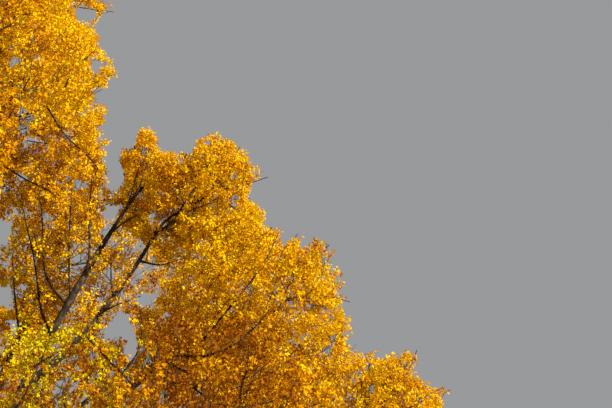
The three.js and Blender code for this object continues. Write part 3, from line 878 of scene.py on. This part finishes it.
# %% The growing rule
PATH_WEIGHT = 0.35
CROWDING = 0.5
FIRST_TWIGS = 10
TARGET_TRIES = 30
TARGET_INNER = 0.2
TARGET_DEEPER = 0.45
TARGET_DEPTH = 0.1
MOST_BACK = 0.2
FOLLOW = 0.55
THINNER = 0.5
HEADING_STEP = 0.02
GAP_STEPS = 8


def in_any_direction(random):
    """A unit vector that points anywhere."""
    z = 2 * random() - 1
    about = 2 * math.pi * random()
    flat = math.sqrt(1 - z * z)
    return np.array((flat * math.cos(about), flat * math.sin(about), z))


def first_targets(space, random):
    """The spots that the solids' own twigs grow to."""
    targets = []
    for _ in range(FIRST_TWIGS):
        best = None
        best_gap = -1
        for _ in range(TARGET_TRIES):
            out = space["radius"] * (TARGET_INNER + TARGET_DEEPER * math.sqrt(random()))
            spot = space["centre"] + in_any_direction(random) * out
            if depth_in(space, spot[None])[0] < TARGET_DEPTH:
                continue
            gap = min([space["radius"]] + [np.linalg.norm(other - spot) for other in targets])
            if gap > best_gap:
                best = spot
                best_gap = gap
        if best is not None:
            targets.append(best)
    return np.array(targets)


class Stops:
    """The places on a mass's twigs where others may spring."""

    def __init__(self):
        self.spots = np.empty((0, 3))
        self.headings = np.empty((0, 3))
        self.radii = np.empty(0)
        self.paths = np.empty(0)

    def add(self, path, radii, back, shares):
        run = lengths_along(path)
        wanted = np.asarray(shares) * run[-1]
        ahead = at_lengths(path, run, wanted + HEADING_STEP)
        behind = at_lengths(path, run, wanted - HEADING_STEP)
        self.spots = np.vstack((self.spots, at_lengths(path, run, wanted)))
        self.headings = np.vstack((self.headings, unit(ahead - behind)))
        self.radii = np.concatenate((self.radii, np.interp(wanted, run, radii)))
        self.paths = np.concatenate((self.paths, back + wanted))

    def best_for(self, target, least_way):
        step = target - self.spots
        way = np.linalg.norm(step, axis=1)
        cost = way + PATH_WEIGHT * self.paths
        cost[(way < least_way) | ((step * self.headings).sum(1) < -MOST_BACK * way)] = np.inf
        best = int(cost.argmin())
        return best if np.isfinite(cost[best]) else None


def grow(stops, targets, ends, tip, thickest, steps, least_way, shares):
    """The paths and radii of twigs that join each target and go on to its end."""
    twigs = []
    for i in np.linalg.norm(targets - stops.spots[0], axis=1).argsort():
        best = stops.best_for(targets[i], least_way)
        if best is None:
            continue
        start = stops.spots[best]
        way = np.linalg.norm(targets[i] - start)
        leaving = start + unit(unit(targets[i] - start) + FOLLOW * stops.headings[best]) * way / 3
        bends = (start, leaving, targets[i], ends[i])
        if before_gap(bezier(bends, GAP_STEPS)[1:], wide_gaps).any():
            continue
        path = bezier(bends, steps)
        foot = min(max(THINNER * stops.radii[best], tip), thickest)
        radii = np.linspace(foot, tip, steps + 1)
        back = stops.paths[best]
        stops.paths[best] += CROWDING
        stops.add(path, radii, back, shares)
        twigs.append((path, radii))
    return twigs


# %% [markdown]
# A poplar's leaves are at its outside, where the light is, and the inside of its crown is bare.
# So plumes are dealt out by the room that a mass has, and fewer of them lie deep in the crown. The
# masses that the photograph doesn't show have fewer too, with larger leaves. The branches stand
# between the masses and bear plumes all along.

# %% Where the plumes are
PLUMES_PER_SQUARE_METRE = 10.6
CROWN_MIDDLE = np.array((0, 0, 8.6))
CROWN_HALF = np.array((8.9, 8.9, 10.6))
BARE_INSIDE = 0.28
LEAFY_OUTSIDE = 0.55
LEAST_INSIDE = 0.35
TOWARDS_OUTSIDE = 0.22
UNSEEN_LEAFY = 0.5
TRIALS = 12000
CANDIDATES = 6
PLUME_DEPTH = 0.07
BALL_VOLUME = 4.19


def outside_share(spots):
    """How leafy the crown is at each spot, from its bare inside to its leafy outside."""
    out = np.linalg.norm((spots - CROWN_MIDDLE) / CROWN_HALF, axis=1)
    rising = np.clip((out - BARE_INSIDE) / (LEAFY_OUTSIDE - BARE_INSIDE), 0, 1)
    return LEAST_INSIDE + (1 - LEAST_INSIDE) * rising


def plume_spots(space, rng):
    """Spots spread evenly through a mass, as many as it has room for."""
    out = (space["radius"] + NOTCH) * rng.random((TRIALS, 1)) ** TOWARDS_OUTSIDE
    trial = space["centre"] + unit(rng.normal(size=(TRIALS, 3))) * out
    trial = trial[leafy_depth(space, trial) > PLUME_DEPTH]
    leafy = outside_share(trial)
    beyond = (1 + NOTCH / space["radius"]) ** (1 / TOWARDS_OUTSIDE)
    room = leafy.sum() / TRIALS * beyond * BALL_VOLUME * space["radius"] ** 2
    trial = trial[rng.random(len(trial)) < leafy]
    wanted = int(room * PLUMES_PER_SQUARE_METRE * space.get("leafy", UNSEEN_LEAFY))
    chosen = trial[:1]
    tried = 1
    while len(chosen) < wanted and tried + CANDIDATES < len(trial):
        some = trial[tried:tried + CANDIDATES]
        tried += CANDIDATES
        gaps = np.linalg.norm(some[:, None] - chosen[None], axis=2).min(1)
        chosen = np.vstack((chosen, some[gaps.argmax()]))
    return chosen


# %% Grow every mass
LIMB_CLEARANCE = 0.06
PLUME_CLEARANCE = 0.15
PLUME_RUN = 0.42
OUTWARD = 0.7
UPWARD = 0.75
STRAY = 0.28
ONWARDS = 0.15
TIP_INSIDE = 0.02
TIP_CLEARANCE = 0.08
DRAWN_IN = 0.3
BOUGHLET_TIP = 0.004
PLUME_LENGTHS = (0.7, 0.6)
STEM_STOPS = np.linspace(0.1, 1, 10)


def varied(rng, count, least, more):
    """A column of random numbers from the least up to so much more."""
    return least + more * rng.random((count, 1))


def grow_mass(space, seed):
    """A mass's twigs, and the boughlets whose ends will be its plumes."""
    rng = np.random.default_rng(seed)
    stops = Stops()
    stem = stems[space["name"]]
    stem_radii = np.linspace(STEM_FOOT * space["tip"], 2 * TWIG_TIP, len(stem))
    stops.add(stem, stem_radii, 0, STEM_STOPS)
    firsts = first_targets(space, seeded(seed))
    firsts = firsts[distance_to_limbs(firsts, space) > LIMB_CLEARANCE]
    onwards = firsts + unit(firsts - stem[0]) * ONWARDS
    twigs = grow(stops, firsts, onwards, tip=TWIG_TIP, thickest=0.03, steps=8, least_way=0.15,
                 shares=(0.2, 0.35, 0.5, 0.65, 0.8, 1.0))
    plumes = plume_spots(space, rng)
    clear = distance_to_limbs(plumes, space) > PLUME_CLEARANCE
    plumes = plumes[clear & ~before_gap(plumes, wide_gaps)]
    outward = plumes - space["centre"]
    stray = STRAY * rng.normal(size=plumes.shape)
    rising = unit(OUTWARD * outward / space["radius"] + (0, 0, UPWARD) + stray)
    tips = plumes + rising * PLUME_RUN * varied(rng, len(plumes), *PLUME_LENGTHS)
    inside = (leafy_depth(space, tips) > TIP_INSIDE) & ~before_gap(tips, wide_gaps)
    inside &= distance_to_limbs(tips, space) > TIP_CLEARANCE
    tips = np.where(inside[:, None], tips, plumes + DRAWN_IN * (tips - plumes))
    boughlets = grow(stops, plumes, tips, tip=BOUGHLET_TIP, thickest=0.013, steps=2, least_way=0.12,
                     shares=(0.25, 0.45, 0.65))
    return twigs, boughlets


grown = {space["name"]: grow_mass(space, FIRST_SEED + i) for i, space in enumerate(spaces)}
twig_count, boughlet_count = (sum(len(kinds[k]) for kinds in grown.values()) for k in (0, 1))
print("twigs:", twig_count, "boughlets:", boughlet_count)

# %% Grow every branch
# The room between the masses. It only serves to find the limbs that are near a branch's leaves.
BETWEEN = dict(name="between", centre=np.array((1.5, 0.4, 11.0)), radius=4.0)
BRANCH_STOPS = np.linspace(0.15, 1, 14)
PLUMES_PER_METRE = 9.5
PLUMES_OFF_BRANCH = 0.5
OFF_BRANCH = (0.25, 0.75)
BRANCH_CLEARANCE = 0.12
BARE_SHARE = 0.12
LEAFY_SHARE = 0.87
BRANCH_UPWARD = 0.8
BRANCH_STRAY = 0.6


def grow_branch(path, foot, seed):
    """The boughlets all along a branch that has no mass of its own."""
    rng = np.random.default_rng(seed)
    stops = Stops()
    stops.add(path, np.linspace(foot, BRANCH_TIP, len(path)), 0, BRANCH_STOPS)
    count = int(lengths_along(path)[-1] * PLUMES_PER_METRE)
    share = BARE_SHARE + LEAFY_SHARE * rng.random(count)
    along = path[(len(path) * share).astype(int)]
    off = PLUMES_OFF_BRANCH * varied(rng, count, *OFF_BRANCH)
    plumes = along + unit(rng.normal(size=(count, 3))) * off
    clear = distance_to_limbs(plumes, BETWEEN) > BRANCH_CLEARANCE
    plumes = plumes[clear & ~before_gap(plumes, wide_gaps)]
    rising = unit((0, 0, BRANCH_UPWARD) + BRANCH_STRAY * rng.normal(size=plumes.shape))
    tips = plumes + rising * PLUME_RUN * varied(rng, len(plumes), *PLUME_LENGTHS)
    return grow(stops, plumes, tips, tip=BOUGHLET_TIP, thickest=0.01, steps=2, least_way=0.1,
                shares=(0.3, 0.5, 0.7))


of_branches = [grow_branch(path, foot, i) for i, (path, foot) in enumerate(branches)]
grown["between"] = ([], sum(of_branches, []))
print("boughlets on branches:", len(grown["between"][1]))

# %% [markdown]
# Each plume has five shoots of a hand's length or two, all round its axis and bent towards its
# tip. A shoot is a spike of three sides, which is all that shows of it between the leaves.

# %% The shoots
SHOOTS_ON_PLUME = 5
SHOOT_LENGTH = 0.3
SHOOT_LENGTHS = (0.55, 0.75)
SHOOT_RADIUS = 0.003
SHOOT_SEED = 7
FIRST_SHOOT = 0.3
PLUME_STEPS = 10
FORWARD = 0.75
SHOOT_STRAY = 0.3
SHOOT_LIFT = 0.25
SHOOT_CLEARANCE = 0.03
FOOT_SHOOT = 1.15
SHORTENING = 0.03
GOLDEN_ANGLE = math.radians(137.5)
THIRD_TURN = 2.0944


def shoot_arrays(space, boughlets, rng):
    """The starts and ends of a mass's shoots, and the plume that each is on."""
    paths = np.array([even(path, PLUME_STEPS) for path, _ in boughlets])
    plume = np.repeat(np.arange(len(paths)), SHOOTS_ON_PLUME)
    step = np.tile(np.arange(SHOOTS_ON_PLUME), len(paths))
    step_on = step + rng.random(len(step))
    share = PLUME_STEPS * (FIRST_SHOOT + (1 - FIRST_SHOOT) * step_on / SHOOTS_ON_PLUME)
    low = np.minimum(share.astype(int), PLUME_STEPS - 1)
    starts = paths[plume, low] + (paths[plume, low + 1] - paths[plume, low]) * (share - low)[:, None]
    heading = unit(paths[plume, low + 1] - paths[plume, low])
    any_way = (0.2, 0.3, 1.0)
    across = unit(np.cross(heading, any_way))
    up = np.cross(heading, across)
    about = (step * GOLDEN_ANGLE + plume)[:, None]
    side = across * np.cos(about) + up * np.sin(about)
    length = SHOOT_LENGTH * varied(rng, len(step), *SHOOT_LENGTHS)
    length = length * (FOOT_SHOOT - SHORTENING * share[:, None])
    aim = side + FORWARD * heading + SHOOT_STRAY * rng.normal(size=side.shape) + (0, 0, SHOOT_LIFT)
    ends = starts + unit(aim) * length
    keep = (leafy_depth(space, ends) > 0) & ~before_gap(ends, all_gaps) & ~hides_limb(ends)
    keep &= distance_to_limbs(ends, space) > SHOOT_CLEARANCE
    return starts[keep], ends[keep], plume[keep]


def spike_arrays(starts, ends, radius):
    """Thin spikes of three sides from their starts to their ends."""
    heading = unit(ends - starts)
    any_way = (0.31, 0.52, 0.8)
    across = unit(np.cross(heading, any_way))
    up = np.cross(heading, across)
    ring = [starts + radius * (math.cos(angle) * across + math.sin(angle) * up)
            for angle in (0, THIRD_TURN, 2 * THIRD_TURN)]
    points = np.stack(ring + [ends], axis=1).reshape(-1, 3)
    first = 4 * np.arange(len(starts))[:, None]
    sides = np.concatenate((first + (0, 1, 3), first + (1, 2, 3), first + (2, 0, 3)), axis=1)
    return points, sides.reshape(-1, 3)


rng = np.random.default_rng(SHOOT_SEED)
shoots = {space["name"]: shoot_arrays(space, grown[space["name"]][1], rng)
          for space in spaces + [BETWEEN]}
print("shoots:", sum(len(starts) for starts, _, _ in shoots.values()))

# %% The twigs as pieces
mass_nodes = ["foliage_" + space["name"] for space in spaces]


def foliage_piece(name, arrays, material):
    piece = mesh_piece(name, *arrays, material)
    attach(piece, "root")
    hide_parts(*mass_nodes)
    return piece


def twig_tubes(kind, sides):
    twigs = [twig for kinds in grown.values() for twig in kinds[kind]]
    return joined([tube_arrays(path, radii, sides) for path, radii in twigs])


def all_spikes():
    return joined([spike_arrays(starts, ends, SHOOT_RADIUS) for starts, ends, _ in shoots.values()])


twig_piece = foliage_piece("twigs", twig_tubes(0, 4), twig_bark)
boughlet_piece = foliage_piece("boughlets", twig_tubes(1, 3), twig_bark)
shoot_piece = foliage_piece("shoots", all_spikes(), twig_bark)
for piece in (twig_piece, boughlet_piece, shoot_piece):
    print(piece.name, "faces:", len(piece.data.polygons))

# %% [markdown]
# A poplar leaf is a rounded triangle on a long flat stalk, so it hangs and turns in any wind. At
# this distance its outline is three or four pixels, so a blade is a kite with its widest place near
# the stalk, folded a little along the midrib. Leaves stand all round a shoot, turned by the golden
# angle, and droop. They are longer the higher they hang. Those of the masses that the photograph
# doesn't show are longer still, since there are fewer of them.

# %% The leaves
LOW_LEAF = 0.04
HIGH_LEAF = 0.068
UNSEEN_LEAF = 0.092
LEAF_LENGTHS = (0.72, 0.5)
LEAF_WIDTH = 0.92
WIDEST_AT = 0.32
FOLD = 0.18
STALK = 0.035
STALK_LENGTHS = (0.5, 0.8)
LEAVES_ON_SHOOT = 19
FIRST_LEAF = 0.2
LEAVES_RUN = 0.85
STALK_FORWARD = 0.5
STALK_DROOP = 0.35
STALK_STRAY = 0.4
BLADE_DROOP = 0.75
BLADE_STRAY = 0.5
OVERHANG = 0.03
LEAF_CLEARANCE = 0.02
THROUGH_HOLES = 0.1
EDGE_SLACK = 2.5
EDGE_FRINGE = 5


def leaf_arrays(space, starts, ends, rng):
    """The blades of all the leaves on a mass's shoots, and the shoot that each is on."""
    headings = unit(ends - starts)
    count = len(starts) * LEAVES_ON_SHOOT
    which = np.repeat(np.arange(len(starts)), LEAVES_ON_SHOOT)
    step = np.tile(np.arange(LEAVES_ON_SHOOT), len(starts))
    share = FIRST_LEAF + LEAVES_RUN * (step + rng.random(count)) / LEAVES_ON_SHOOT
    roots = starts[which] + (ends - starts)[which] * share[:, None]
    across = unit(np.cross(headings, unit(rng.normal(size=headings.shape))))[which]
    up = np.cross(headings[which], across)
    about = (step * GOLDEN_ANGLE)[:, None]
    side = across * np.cos(about) + up * np.sin(about)
    down = np.array((0, 0, -1.0))
    stray = STALK_STRAY * rng.normal(size=(count, 3))
    stalk = unit(side + STALK_FORWARD * headings[which] + STALK_DROOP * down + stray)
    along = unit(stalk + BLADE_DROOP * down + BLADE_STRAY * rng.normal(size=(count, 3)))
    across = unit(np.cross(along, rng.normal(size=(count, 3))))
    face = np.cross(along, across)
    usual = LOW_LEAF + (HIGH_LEAF - LOW_LEAF) * roots[:, 2:3] / TREE_HEIGHT
    if "leafy" not in space and space is not BETWEEN:
        usual = UNSEEN_LEAF
    length = usual * varied(rng, count, *LEAF_LENGTHS)
    base = roots + stalk * STALK * varied(rng, count, *STALK_LENGTHS)
    widest = base + along * WIDEST_AT * length + face * FOLD * length
    half = across * 0.5 * LEAF_WIDTH * length
    blade = np.stack((base, widest + half, base + along * length, widest - half), axis=1)
    middle = base + along * 0.5 * length
    keep = (leafy_depth(space, middle) > -OVERHANG) & (distance_to_limbs(middle, space) > LEAF_CLEARANCE)
    passing = (rng.random(count) < THROUGH_HOLES) & ~before_gap(middle, all_gaps, EDGE_FRINGE)
    keep &= ~before_gap(middle, all_gaps, EDGE_SLACK) | passing
    keep &= ~hides_limb(middle)
    return blade[keep], which[keep]


# %% [markdown]
# The tints are alike within a plume and in patches, and paler towards the top: painted light, as the
# top is lit most. Where the photograph shows greener, dimmer or paler leaves, a spot shifts the tints
# around it: greener at a green spot, darker as painted shade at a shade spot, and paler as painted
# light where a shade spot's amount is below zero. A spot is told by its pixel and its plane along Y,
# and a shade spot also by how much painted shade it adds.

# %% The tints
LEAF_SEED = 2024
PATCHES = 0.14
OF_PLUME = 0.28
OF_SHOOT = 0.25
# Painted light: the tints grow paler by this much for each metre up.
PAINTED_LIGHT_PER_METRE_UP = 0.055
EVEN_BELOW = 6.5
EVEN_HEIGHT = 11
TINT_STEPS = (-0.57, -0.24, 0.19)
# Spots of painted shade, and of painted light where the last number is below zero.
PAINTED_SHADE_AND_LIGHT_SPOTS = [(40, 385, -3, 0.42), (110, 375, -3.5, 0.42), (290, 340, -1, 0.2),
             (395, 385, -0.5, -0.45), (190, 235, -0.5, -0.35)]
PAINTED_SHADE_AND_LIGHT_REACH = 2.4
GREEN_SPOTS = [(65, 325, -1.8), (95, 336, -3.4), (222, 312, -1.8), (35, 380, -3.4)]
GREEN_REACH = 1.1
GREEN_GAIN = 1.9
GREEN_STRAY = 0.6
GREEN_FROM = 2.3


def nearness(ends, x, y, plane, reach):
    """From 1 at the spot that shows at a pixel down to 0 far from it."""
    return np.exp(-((ends - from_pixel((x, y), plane)) ** 2).sum(1) / reach ** 2)


def spray_tints(ends, plume, rng):
    """A tint for each shoot, from 0 for the palest to 3 for the darkest, and 4 for a green one."""
    x, y, z = ends.T
    patches = np.sin(1.1 * x + 0.8 * z) + np.sin(1.3 * y - 1.2 * z + 1.0)
    patches = patches + 0.7 * np.sin(2.3 * x - 1.7 * y + 2.0)
    of_plume = rng.normal(size=plume.max() + 1)[plume]
    light = PATCHES * patches + OF_PLUME * of_plume + OF_SHOOT * rng.normal(size=len(ends))
    # Painted light: the higher a shoot, the paler its tint.
    light = light + PAINTED_LIGHT_PER_METRE_UP * (np.maximum(z, EVEN_BELOW) - EVEN_HEIGHT)
    # Painted shade round each spot, and painted light where its amount is below zero.
    for *spot, painted_shade in PAINTED_SHADE_AND_LIGHT_SPOTS:
        light -= painted_shade * nearness(ends, *spot, PAINTED_SHADE_AND_LIGHT_REACH)
    tints = 3 - np.digitize(light, TINT_STEPS)
    greenish = 0.9 * np.sin(0.9 * x + 0.5 * z + 2.2) + np.sin(1.1 * y + 0.7 * z) + 0.5 * of_plume
    for spot in GREEN_SPOTS:
        greenish += GREEN_GAIN * nearness(ends, *spot, GREEN_REACH)
    tints[greenish + GREEN_STRAY * rng.normal(size=len(ends)) > GREEN_FROM] = 4
    return tints


rng = np.random.default_rng(LEAF_SEED)
blades = []
tints = []
for space in spaces + [BETWEEN]:
    starts, ends, plume = shoots[space["name"]]
    blade, which = leaf_arrays(space, starts, ends, rng)
    blades.append(blade)
    tints.append(spray_tints(ends, plume, rng)[which])
blades = np.concatenate(blades)
tints = np.concatenate(tints)
print("leaves:", len(blades), "by tint:", np.bincount(tints))

# %% [markdown]
# Leaves could be copies of one leaf, scattered by nodes, but here they are a mesh of their own.
# The leaves of one tint are joined, and a tint with too many for one piece is split, so that each
# piece stays light enough to export.

# %% The leaves as pieces
MOST_LEAVES = 95000


def leaf_faces(blades):
    first = 4 * np.arange(len(blades))[:, None]
    triangles = np.concatenate((first + (0, 1, 2), first + (0, 2, 3)), axis=1)
    return blades.reshape(-1, 3), triangles.reshape(-1, 3)


for number, (name, material) in enumerate(leaf_materials.items()):
    chosen = blades[tints == number]
    parts = max(1, math.ceil(len(chosen) / MOST_LEAVES))
    for k, part in enumerate(np.array_split(chosen, parts)):
        piece = foliage_piece(f"{name}_{k + 1}", leaf_faces(part), material)
        print(piece.name, "leaves:", len(part))

# %% [markdown]
# The tree stands on a plain pale floor in studio light: a warm key from the right of the camera, as
# in the photograph, and a pale surround that fills the shade. Blender's sun lamp is right for the
# key, since it lights all of a crown this large alike.

# %% Floor and light
FLOOR_SIZE = 400
FLOOR_DROP = 0.002
KEY_TOWARDS = (-0.73, 0.4, -0.55)
KEY_STRENGTH = 8.6
KEY_ANGLE = 3
SURROUND_STRENGTH = 0.37


def make_floor():
    half = FLOOR_SIZE / 2
    corners = ((-half, -half), (half, -half), (half, half), (-half, half))
    points = np.array([(x, y, -FLOOR_DROP) for x, y in corners])
    material = new_material("pale_studio_floor")
    shader = add_node(material, "ShaderNodeBsdfPrincipled", Roughness=0.9)
    shader.inputs["Base Color"].default_value = linear("#9C9890")
    add_node(material, "ShaderNodeOutputMaterial", [(shader.outputs["BSDF"], "Surface")])
    floor = mesh_piece("floor", points, np.array([[0, 1, 2, 3]]), material)


def make_light(name, towards, strength, angle, colour):
    data = bpy.data.lights.new(name, "SUN")
    data.energy = strength
    data.angle = math.radians(angle)
    data.color = linear(colour)[:3]
    light = bpy.data.objects.new(name, data)
    light.rotation_euler = Vector(towards).to_track_quat("-Z", "Y").to_euler()
    bpy.context.scene.collection.objects.link(light)


make_floor()
make_light("key", KEY_TOWARDS, KEY_STRENGTH, KEY_ANGLE, "#FFF3DC")
world = bpy.data.worlds.new("studio")
world.use_nodes = True
background = world.node_tree.nodes["Background"]
background.inputs["Color"].default_value = linear("#EEF0F2")
background.inputs["Strength"].default_value = SURROUND_STRENGTH
bpy.context.scene.world = world
bpy.context.scene.view_settings.view_transform = "Standard"
